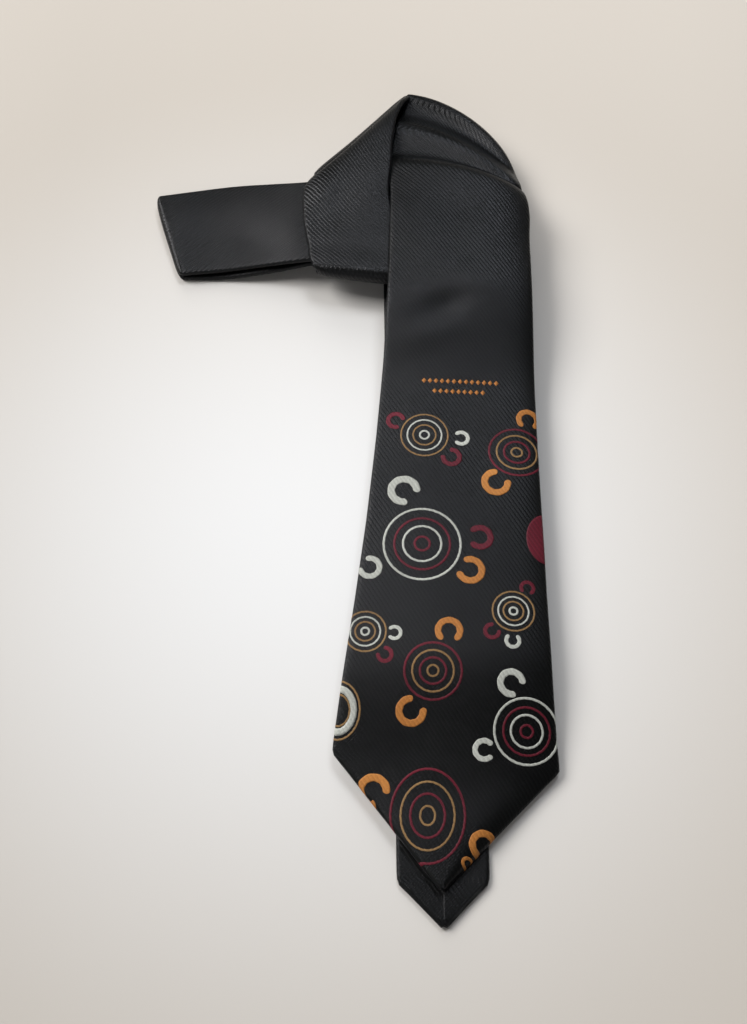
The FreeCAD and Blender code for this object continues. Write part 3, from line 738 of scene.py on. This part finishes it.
def spoke(s, t, angle, along, across):
    """Points on a line out from (s, t), at the given reaches along the blade and across it."""
    return list(zip(s + math.sin(angle) * along, t + math.cos(angle) * across))


class Pattern:
    """Flat shapes in (along, right) on the front blade, gathered by thread."""

    def __init__(self):
        self.points, self.faces = {}, {}

    def strip_of(self, thread, lines, closed):
        """Quads between neighbouring lines of points."""
        points = self.points.setdefault(thread, [])
        faces = self.faces.setdefault(thread, [])
        base, count = len(points), len(lines[0])
        for line in lines:
            points.extend(line)
        pairs = len(lines) if closed else len(lines) - 1
        for i in range(pairs):
            a, b = base + i * count, base + (i + 1) % len(lines) * count
            faces.extend([a + k, b + k, b + k + 1, a + k + 1] for k in range(count - 1))

    def ring(self, thread, s, t, along, across, width):
        """A closed ring of a thread's width, with the small steps that a weave gives its edges."""
        steps = max(20, int(2 * math.pi * max(along, across) / 0.55))
        lines = []
        for i in range(steps):
            angle = 2 * math.pi * i / steps
            jag = 0.05 * math.sin(angle * along * 2.3) + 0.04 * math.sin(angle * across * 5.1 + s)
            reach = np.linspace(-width / 2 + jag, width / 2 + jag * 0.4, 4)
            lines.append(spoke(s, t, angle, along + reach, across + reach))
        self.strip_of(thread, lines, closed=True)

    def open_ring(self, thread, s, t, radius, opening):
        """A broad ring with a gap and rounded ends."""
        half_band = radius * BAND_SHARE / 2
        middle = radius - half_band
        start = math.radians(opening + OPENING / 2)
        length = math.radians(360 - OPENING)
        cap = half_band / middle
        lines = []
        cap_steps = np.linspace(0, 0.06, 7)[:-1]
        for u in np.concatenate([cap_steps, np.linspace(0.06, 0.94, 40), 1 - cap_steps[::-1]]):
            angle = start + u * length
            from_end = min(u, 1 - u) * length / cap
            half = half_band * math.sqrt(max(0.02, 1 - (1 - min(from_end, 1)) ** 2))
            half *= 1 + 0.05 * math.sin(angle * 9 + s)
            reach = middle + np.linspace(-half, half, 7)
            lines.append(spoke(s, t, angle, reach, reach))
        self.strip_of(thread, lines, closed=False)

    def disc(self, thread, s, t, along, across):
        share = np.linspace(0.02, 1, 18)
        angles = [2 * math.pi * i / 90 for i in range(90)]
        lines = [spoke(s, t, angle, along * share, across * share) for angle in angles]
        self.strip_of(thread, lines, closed=True)

    def lozenge(self, thread, s, t, along, across):
        lines = []
        for u in np.linspace(-1, 1, 7):
            reach = across / 2 * (1 - abs(u)) + 0.05
            lines.append([(s + u * along / 2, t + r) for r in np.linspace(-reach, reach, 3)])
        self.strip_of(thread, lines, closed=False)

    def draw(self):
        for s, t, along, across, threads in TARGETS:
            for thread, share, width in threads:
                self.ring(thread, s, t, along * share - width / 2, across * share - width / 2, width)
        for open_ring in OPEN_RINGS:
            self.open_ring(*open_ring)
        self.disc(*DISC)
        for s, start, end in LOZENGE_ROWS:
            for t in np.arange(start, end, LOZENGE_STEP):
                self.lozenge("gold", s, t, *LOZENGE_SIZE)


def woven_pieces(materials):
    """One piece for each thread of the pattern, in a slot of its own."""
    pattern = Pattern()
    pattern.draw()
    for thread in sorted(pattern.points):
        name = f"woven_{thread}"
        points, faces = pattern.points[thread], pattern.faces[thread]
        piece = slab(name, points, faces, blade_place, 0.005, WOVEN_HEIGHT, materials[name])
        follow_blade(piece)


# ---------------------------------------------------------------- threads


def thread_piece(name, runs, where, height, radius, material):
    """Stitches as short threads that dip into the cloth at both ends, each from (s, t) to (s, t)."""
    vertices = []
    skin = Skin()
    flat = [[(i / 40, k % THREAD_SIDES / 60) for k in range(THREAD_SIDES + 1)] for i in range(THREAD_STEPS)]
    share = np.linspace(0, 1, THREAD_STEPS)[:, None]
    lift = np.maximum(radius * (2.1 * np.sin(math.pi * share[:, 0]) ** 0.5 - 1.15), 0.001)
    for start, end in runs:
        rows, f = where(np.array(start) * (1 - share) + np.array(end) * share)
        line = on_strip(rows, f, np.sign(height) * (abs(height) + lift))
        deep = on_strip(rows, f, height)
        travel = unit(np.gradient(line, axis=0))
        up = unit(line - deep + 1e-6 * (line - deep).mean(axis=0))
        side = unit(np.cross(travel, up))
        up = np.cross(side, travel)
        base = len(vertices)
        for i in range(THREAD_STEPS):
            for turn in np.arange(THREAD_SIDES) * 2 * math.pi / THREAD_SIDES:
                vertices.append(line[i] + (side[i] * math.cos(turn) + up[i] * math.sin(turn)) * radius)
        skin.tube(flat, base, THREAD_SIDES)
        skin.cap(flat[0], base, THREAD_SIDES, False)
        skin.cap(flat[-1], len(vertices) - THREAD_SIDES, THREAD_SIDES, True)
    return mesh_object(name, vertices, skin.faces, skin.uvs, material)


def slip_stitches(name, starts, length, where, material):
    """A row of short slanting stitches that close the centre seam."""
    runs = [((s, -STITCH_LEAN), (s + length, STITCH_LEAN)) for s in starts]
    return thread_piece(name, runs, where, SLIP_HEIGHT, THREAD, material)


def bar_tack(name, top, size, where, material):
    """A dense bar of stitches across the place where the flaps meet."""
    width, length = size
    starts = [top + TACK_GAP + i * TACK_STEP for i in range(int(length / TACK_STEP))]
    runs = [((s, -width / 2), (s, width / 2)) for s in starts]
    return thread_piece(name, runs, where, TACK_HEIGHT, 0.16, material)


def outline_runs(size, centre, inset, length, step):
    """Stitches just inside the four sides of a rectangle."""
    half = (size[1] / 2 - inset, size[0] / 2 - inset)
    runs = []
    for way in (0, 1):
        for at in np.arange(-half[way], half[way] - length, step):
            for side in (-1, 1):
                ends = np.full((2, 2), side * half[1 - way])
                ends[:, way] = (at, at + length)
                runs.append(ends + centre)
    return runs


def seam_piece(name, row, material):
    """The ridge over a joining seam, across the whole of side B."""
    width = 2 * float(STRIP.half_width[int(row)])
    points, faces = rectangle((width, SEAM_ROWS), (row, 0), 1.5)
    return slab(name, points, faces, strip_place, -0.005, -0.12, material)


# ---------------------------------------------------------------- materials


def srgb(*colours):
    """The linear colours of reds, greens and blues from 0 to 255."""
    return [tuple(((c / 255 + 0.055) / 1.055) ** 2.4 if c > 10 else c / 255 / 12.92 for c in colour) + (1,)
            for colour in colours]


class Nodes:
    """A material's node tree, with one short call for each kind of node."""

    def __init__(self, name):
        self.material = bpy.data.materials.new(name)
        self.material.use_nodes = True
        self.tree = self.material.node_tree
        self.shader = self.tree.nodes["Principled BSDF"]
        self.flat = self.add("UVMap", uv_map="weave").outputs[0]
        split = self.add("SeparateXYZ", {0: self.flat})
        self.along, self.across = split.outputs[0], split.outputs[1]

    def feed(self, node, inputs):
        """Gives a node's inputs, by number or name, other nodes' outputs or plain values."""
        for key, value in dict(inputs).items():
            if isinstance(value, bpy.types.NodeSocket):
                self.tree.links.new(value, node.inputs[key])
            else:
                node.inputs[key].default_value = value

    def add(self, kind, inputs=(), **settings):
        node = self.tree.nodes.new("ShaderNode" + kind)
        for name, value in settings.items():
            setattr(node, name, value)
        self.feed(node, inputs)
        return node

    def math(self, operation, *values):
        return self.add("Math", enumerate(values), operation=operation).outputs[0]

    def ribs(self, along, across, pitch):
        """Waves over the flat cloth, from 0 to 1, with their crests across the direction (along, across)."""
        turns = 2 * math.pi * UV_SIZE / pitch / math.hypot(along, across)
        phase = self.math("MULTIPLY_ADD", self.along, along * turns,
                          self.math("MULTIPLY", self.across, across * turns))
        return self.math("MULTIPLY_ADD", self.math("SINE", phase), 0.5, 0.5)

    def noise(self, scale, detail=2.0, stretch=(1, 1, 1)):
        places = self.add("Mapping", {0: self.flat, "Scale": stretch}).outputs[0]
        return self.add("TexNoise", {0: places, "Scale": scale, "Detail": detail}).outputs[0]

    def mix(self, share, first, second):
        return self.add("Mix", {0: share, 6: first, 7: second}, data_type="RGBA").outputs[2]

    def ramp(self, value, low, high):
        return self.add("MapRange", {0: value, 1: low, 2: high}, interpolation_type="SMOOTHSTEP").outputs[0]

    def spread(self, value, low, high):
        """A value from 0 to 1, carried to the stretch from low to high."""
        return self.add("MapRange", {0: value, 3: low, 4: high}).outputs[0]

    def cloth(self, colour, roughness, relief, depth, sheen):
        """Feeds the shader with a cloth's colour, roughness, relief with its depth, and sheen."""
        bump = self.add("Bump", {"Height": relief, "Distance": depth / 1000, "Strength": 1.0})
        weight, softness, tint = sheen
        self.feed(self.shader, {
            "Base Color": colour, "Roughness": roughness, "Normal": bump.outputs[0],
            "Sheen Weight": weight, "Sheen Roughness": softness, "Sheen Tint": tint,
        })
        return self.material


RIB_PITCH = 1.45
WHITE = (1, 1, 1, 1)
STEEL = (0.72, 0.80, 1.0, 1)
# Woven threads: their valleys, ridges and glints (valleys partly painted shade in the grooves, ridges partly
# and glints wholly painted highlight), the weight and tint of their sheen, and their contrast.
WOVEN_THREADS = {
    "white": ((92, 93, 87), (186, 187, 178), (198, 199, 191), 0.1, WHITE, 0.3),
    "gold": ((84, 48, 20), (182, 118, 56), (196, 132, 66), 0.1, (1, 0.9, 0.7, 1), 0.3),
    "tan": ((56, 40, 24), (140, 108, 68), (154, 122, 80), 0.1, (1, 0.9, 0.8, 1), 0.3),
    "maroon": ((34, 8, 14), (102, 26, 40), (112, 32, 46), 0.06, (1, 0.7, 0.7, 1), 0.4),
}


def ribbed_cloth(name, colours, roughness, sheen, depth, contrast):
    """Silk-like cloth with slanting ribs, each made of fine threads laid across it."""
    m = Nodes(name)
    # The colour holds painted light: rib valleys darkened as painted shade in the grooves and ridges
    # lightened as painted highlight, over the weave's own tone.
    valley, ridge, glint = srgb(*colours)
    wide, narrow = m.ribs(0.7, 1, RIB_PITCH), m.ribs(0.7, 1, RIB_PITCH / 2)
    rib = m.math("MULTIPLY_ADD", narrow, 0.2, m.math("MULTIPLY", wide, 0.8))
    fibre = m.noise(170, 3.0)
    # Random large patches in which the rib ridges are painted with the glint colour, as painted sheen
    # highlights.
    glint_patches = m.ramp(m.noise(3.2, 3.0), 0.42, 0.75)
    body = m.math("MULTIPLY", m.math("MULTIPLY_ADD", rib, contrast, 1 - contrast),
                  m.math("MULTIPLY_ADD", fibre, 0.8, 0.4))
    colour = m.mix(m.math("MULTIPLY", glint_patches, body), m.mix(body, valley, ridge), glint)
    wear = m.math("MULTIPLY_ADD", fibre, 0.4, m.math("MULTIPLY", body, 0.6))
    threads = m.math("MULTIPLY_ADD", m.ribs(1, -1, 0.8), 0.3, rib)
    relief = m.math("ADD", threads, m.math("MULTIPLY", fibre, 1.7))
    m.feed(m.shader, {"Specular IOR Level": 0.21, "Specular Tint": (0.97, 0.96, 1.0, 1)})
    return m.cloth(colour, m.spread(wear, roughness + 0.1, roughness - 0.06), relief, depth, sheen)


def pile_cloth(name, colours, scale, roughness, sheen, depth):
    """Felt or brushed cloth: a tangle of fibres."""
    m = Nodes(name)
    tangle = m.noise(scale, 5.0, (1, 1.6, 1))
    colour = m.mix(m.ramp(tangle, 0.3, 0.7), *srgb(*colours))
    return m.cloth(colour, m.spread(tangle, roughness, roughness + 0.1), tangle, depth, sheen)


def satin_cloth(name, colours, pitch, roughness, sheen, depth):
    """Fine plain cloth with threads both ways."""
    m = Nodes(name)
    weave = m.math("MULTIPLY", m.ribs(1, 0, pitch), m.ribs(0, 1, pitch * 1.3))
    share = m.math("MULTIPLY_ADD", weave, 0.7, m.math("MULTIPLY", m.noise(9, 3.0), 0.3))
    colour = m.mix(share, *srgb(*colours))
    return m.cloth(colour, m.spread(weave, roughness + 0.1, roughness), weave, depth, sheen)


def twisted_thread(name, colours, roughness):
    m = Nodes(name)
    twist = m.ribs(1, 1, 0.5)
    colour = m.mix(twist, *srgb(*colours))
    rough = m.spread(twist, roughness, roughness + 0.1)
    return m.cloth(colour, rough, twist, 0.04, (0.2, 0.5, WHITE))


def all_materials():
    """Every material, by its name."""
    kinds = {
        "tie_cloth": (ribbed_cloth, ((0, 0, 0), (15, 16, 15), (20, 21, 20)), 0.32, (0.02, 0.4, STEEL), 0.1,
                      0.97),
        "interlining": (pile_cloth, ((168, 164, 152), (205, 202, 190)), 90, 0.85, (0.4, 0.6, WHITE), 0.15),
        "tipping": (satin_cloth, ((5, 5, 6), (20, 20, 22)), 0.5, 0.42, (0.06, 0.4, STEEL), 0.04),
        "label_satin": (satin_cloth, ((96, 97, 102), (142, 143, 148)), 0.3, 0.38, (0.2, 0.4, WHITE), 0.03),
        "care_tape": (satin_cloth, ((176, 175, 170), (226, 225, 220)), 0.36, 0.55, (0.2, 0.5, WHITE), 0.03),
        "thread": (twisted_thread, ((22, 22, 24), (58, 58, 62)), 0.5),
    }
    for thread, (*colours, weight, tint, contrast) in WOVEN_THREADS.items():
        kinds[f"woven_{thread}"] = (ribbed_cloth, colours, 0.5, (weight, 0.4, tint), 0.06, contrast)
    return {name: make(name, *settings) for name, (make, *settings) in kinds.items()}


# ---------------------------------------------------------------- the pieces


def follow_blade(piece):
    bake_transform(piece)


def follow_tail(piece):
    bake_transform(piece)


def stay(piece):
    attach(piece, "root")


def cloth_pieces(materials):
    """The envelopes and the cores, each between two rows of the strip."""
    starts, end = STRIP.starts, len(STRIP.rows) - 1
    band, tail = starts["band"] + 6, starts["tail"] - FOLD_ROWS - 2
    blade_seam, tail_seam = seam_rows()
    wide = np.flatnonzero(STRIP.half_width > 5)
    # The piece, its node, its first and last rows, the piece it rests on, and what it follows.
    rows = (
        ("front_blade_cloth", "blade_shell", 0, band, "tail_cloth", follow_blade),
        ("knot_cloth", "blade_shell_upper", band, blade_seam, "neck_cloth", stay),
        ("neck_cloth", "neck_shell", blade_seam, tail_seam, "tail_upper_cloth", stay),
        ("tail_upper_cloth", "tail_shell_upper", tail_seam, tail, "neck_cloth", stay),
        ("tail_cloth", "tail_shell", tail, end, "tail_upper_cloth", follow_tail),
        ("front_core", "blade_interlining", wide[0], band, "front_blade_cloth", follow_blade),
        ("neck_core", "neck_interlining", band, tail, "neck_cloth", stay),
        ("tail_core", "tail_interlining", tail, wide[-1], "tail_cloth", follow_tail),
    )
    made = {}
    for name, _, first, last, _, _ in rows:
        if name.endswith("core"):
            made[name] = core_piece(name, first, last, materials["interlining"])
        else:
            made[name] = hollow_piece(name, first, last, materials["tie_cloth"])
    for name, node, first, last, under, follow in rows:
        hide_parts(node)
        follow(made[name])


def seam_rows():
    """The rows of the two seams that join the blade, the neck and the tail."""
    starts = STRIP.starts
    return (starts["loop_back"] + round(SEAM_SHARE * len(loft(LOOP_BACK))),
            starts["down_pass"] + round(SEAM_SHARE * len(loft(DOWN_PASS))))


def window_corners(top, half, hem):
    """The outline of an opening over a lining, anticlockwise in (along, right)."""
    share = half / (top - half * 1.08 - hem)
    shoulder = (share * top + WINDOW_SLANT * MITRE * hem) / (WINDOW_SLANT + share)
    reach = (shoulder - MITRE * hem) * WINDOW_SLANT - 0.2
    return [(MITRE * hem + 0.3, 0), (shoulder, -reach), (top - 0.5, 0), (shoulder, reach)]


def lining_piece(name, top, half, hem, where, material):
    corners = window_corners(top, half, hem)
    points, faces = clipped_grid(corners, 1.4)
    piece = slab(name, points, faces, where, *LINING_HEIGHTS, material)
    return piece


def blade_distance(y):
    return (y - TIP[1]) / math.sin(LEAN)


def seam_pieces(materials):
    """Linings in the tips, and the threads that close the envelope's back."""
    thread, starts = materials["thread"], STRIP.starts
    blade_end = min(blade_distance(CREASE_Y), BLADE_LENGTH - 4) - STITCH_LENGTH
    tail_end = TAIL_TOP - TAIL_TIP - 8 - STITCH_LENGTH
    neck_end = starts["last_up_pass"] - FOLD_ROWS - 6
    neck_length, neck_step = NECK_STITCH_ROWS
    made = []
    for tip, top, half, hem, where, follow in (
        ("blade", WINDOW_TOP, WINDOW_HALF, HEM, blade_place, follow_blade),
        ("tail", TAIL_WINDOW_TOP, TAIL_WINDOW_HALF, TAIL_HEM, tail_place, follow_tail),
    ):
        lining = lining_piece(f"{tip}_tipping", top, half, hem, where, materials["tipping"])
        made.append((lining, f"{tip}_lining", follow))
    for part, first, last, step, length, where, follow in (
        ("blade", WINDOW_TOP + SLIP_GAP, blade_end, STITCH_STEP, STITCH_LENGTH, blade_place, follow_blade),
        ("tail", TAIL_WINDOW_TOP + SLIP_GAP, tail_end, STITCH_STEP, STITCH_LENGTH, tail_place, follow_tail),
        ("neck", starts["down_pass"] + 4, neck_end, neck_step, neck_length, strip_place, stay),
    ):
        stitches = slip_stitches(f"{part}_slip_thread", np.arange(first, last, step), length, where, thread)
        made.append((stitches, f"{part}_slip_stitch", follow))
    for tip, top, size, where, follow in (
        ("blade", WINDOW_TOP, BLADE_TACK, blade_place, follow_blade),
        ("tail", TAIL_WINDOW_TOP, TAIL_TACK, tail_place, follow_tail),
    ):
        made.append((bar_tack(f"{tip}_bar_tack_thread", top, size, where, thread), f"{tip}_bar_tack", follow))
    for node, row in zip(("blade_neck_seam", "neck_tail_seam"), seam_rows()):
        made.append((seam_piece(f"{node}_ridge", row, thread), node, stay))
    for piece, node, follow in made:
        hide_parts(node)
        follow(piece)


def sew_on(name, node, size, at, step, heights, material, room=0, turn=0):
    """A patch on the front blade's back, which lies flat at both ends and stands off by room between them."""
    points, faces = rectangle(size, at, step)
    from_end = size[0] / 2 - np.abs(np.array(points)[:, 1] - at[1])
    slack = room * ease((from_end - 4.5) / 5)
    low, high = (height - slack for height in heights)
    piece = slab(name, points, faces, blade_place, low, high, material, turn)
    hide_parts(node)
    follow_blade(piece)


def stitch_down(name, node, runs, height, radius, material):
    piece = thread_piece(name, runs, blade_place, height, radius, material)
    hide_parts(node)
    follow_blade(piece)


def sewn_on_pieces(materials):
    """The keeper, the label and the care tag on the front blade's back, with their threads."""
    thread, across = materials["thread"], KEEPER_SIZE[0] / 2 - 2.5
    keeper_at, label_at = (blade_distance(KEEPER_Y), 0.0), (blade_distance(LABEL_Y), 0.0)
    care_at = (blade_distance(CARE_PLACE[1]), CARE_PLACE[0])
    starts = keeper_at[0] + np.arange(*KEEPER_STITCHES)
    keeper_runs = [((s, side * across), (s + 2.0, side * across)) for side in (-1, 1) for s in starts]
    label_runs = outline_runs(LABEL_SIZE, label_at, 1.3, 2.2, 3.2)
    sew_on("keeper_strap", "keeper_loop", KEEPER_SIZE, keeper_at, 1.0, KEEPER_HEIGHTS, materials["tie_cloth"],
           KEEPER_ROOM, STRAP_TURN)
    stitch_down("keeper_thread", "keeper_stitches", keeper_runs, KEEPER_HEIGHTS[1], THREAD, thread)
    sew_on("label_patch", "blank_label", LABEL_SIZE, label_at, 1.2, LABEL_HEIGHTS, materials["label_satin"])
    stitch_down("label_thread", "label_stitches", label_runs, LABEL_HEIGHTS[1], 0.14, thread)
    sew_on("care_tape_tag", "care_tag", CARE_SIZE, care_at, 1.2, CARE_HEIGHTS, materials["care_tape"])


# ---------------------------------------------------------------- the stage


def floor_material():
    """A pale surface with a painted pool of light round the middle and painted shade that darkens it to the
    left.
    """
    m = Nodes("floor_paper")
    places = m.add("TexCoord").outputs["Object"]
    distance = m.add("VectorMath", {0: places}, operation="LENGTH").outputs["Value"]
    # Painted light: the colour fades from a painted bright pool round the middle to the edge colour, then is
    # scaled down towards the left as painted shade.
    colour = m.mix(m.ramp(distance, 0.0, FLOOR_GLOW_REACH), *srgb((240, 239, 238), (202, 194, 184)))
    across = m.add("SeparateXYZ", {0: places}).outputs[0]
    shade = m.add("MapRange", [(0, across), *enumerate(FLOOR_SHADE, 1)]).outputs[0]
    scaled = m.add("VectorMath", {0: colour, "Scale": shade}, operation="SCALE").outputs[0]
    roughness = m.spread(m.noise(40), 0.85, 0.95)
    m.feed(m.shader, {"Base Color": scaled, "Roughness": roughness, "Specular IOR Level": 0.1})
    return m.material


def build_stage():
    bpy.ops.mesh.primitive_plane_add(size=8, location=place(-25, -12, -FLOOR_GAP))
    floor = bpy.context.object
    floor.name = "floor"
    floor.data.materials.append(floor_material())

    tilt = math.radians(CAMERA_TILT)
    camera = bpy.data.objects.new("camera", bpy.data.cameras.new("camera"))
    camera.data.lens = CAMERA_LENS
    camera.location = place(0, -CAMERA_DISTANCE * math.sin(tilt), CAMERA_DISTANCE * math.cos(tilt))
    camera.rotation_euler = (tilt, 0, 0)
    bpy.context.scene.collection.objects.link(camera)
    bpy.context.scene.camera = camera

    area_light("key", (-1280, 680, 1260), (10, 60, 0), 1.05, 41.5, (1.0, 0.995, 0.985))
    area_light("north", (-300, 1600, 780), (0, 60, 0), 1.0, 14.0, (1.0, 0.995, 0.99), glossy=False)
    area_light("sheen", (200, 690, 1060), (38, 130, 15), 0.4, 5.8, (0.88, 0.93, 1.0))
    area_light("front", (-100, -700, 500), (10, 100, 0), 0.5, 1.0, (0.95, 0.97, 1.0))
    world = bpy.data.worlds.new("studio")
    world.use_nodes = True
    background = world.node_tree.nodes["Background"]
    background.inputs["Color"].default_value = (1.0, 0.98, 0.96, 1)
    background.inputs["Strength"].default_value = 0.07
    bpy.context.scene.world = world
    bpy.context.scene.view_settings.view_transform = "Standard"


def area_light(name, position, target, size, power, colour, glossy=True):
    """A square soft light; positions in the drawing's millimetres, size in metres and power in watts."""
    light = bpy.data.lights.new(name, "AREA")
    light.shape = "SQUARE"
    light.size = size
    light.energy = power
    light.color = colour
    lamp = bpy.data.objects.new(name, light)
    lamp.location = place(*position)
    lamp.visible_glossy = glossy
    lamp.rotation_euler = (place(*target) - place(*position)).to_track_quat("-Z", "Y").to_euler()
    bpy.context.scene.collection.objects.link(lamp)


def main():
    materials = all_materials()
    build_stage()
    cloth_pieces(materials)
    seam_pieces(materials)
    sewn_on_pieces(materials)
    woven_pieces(materials)


main()
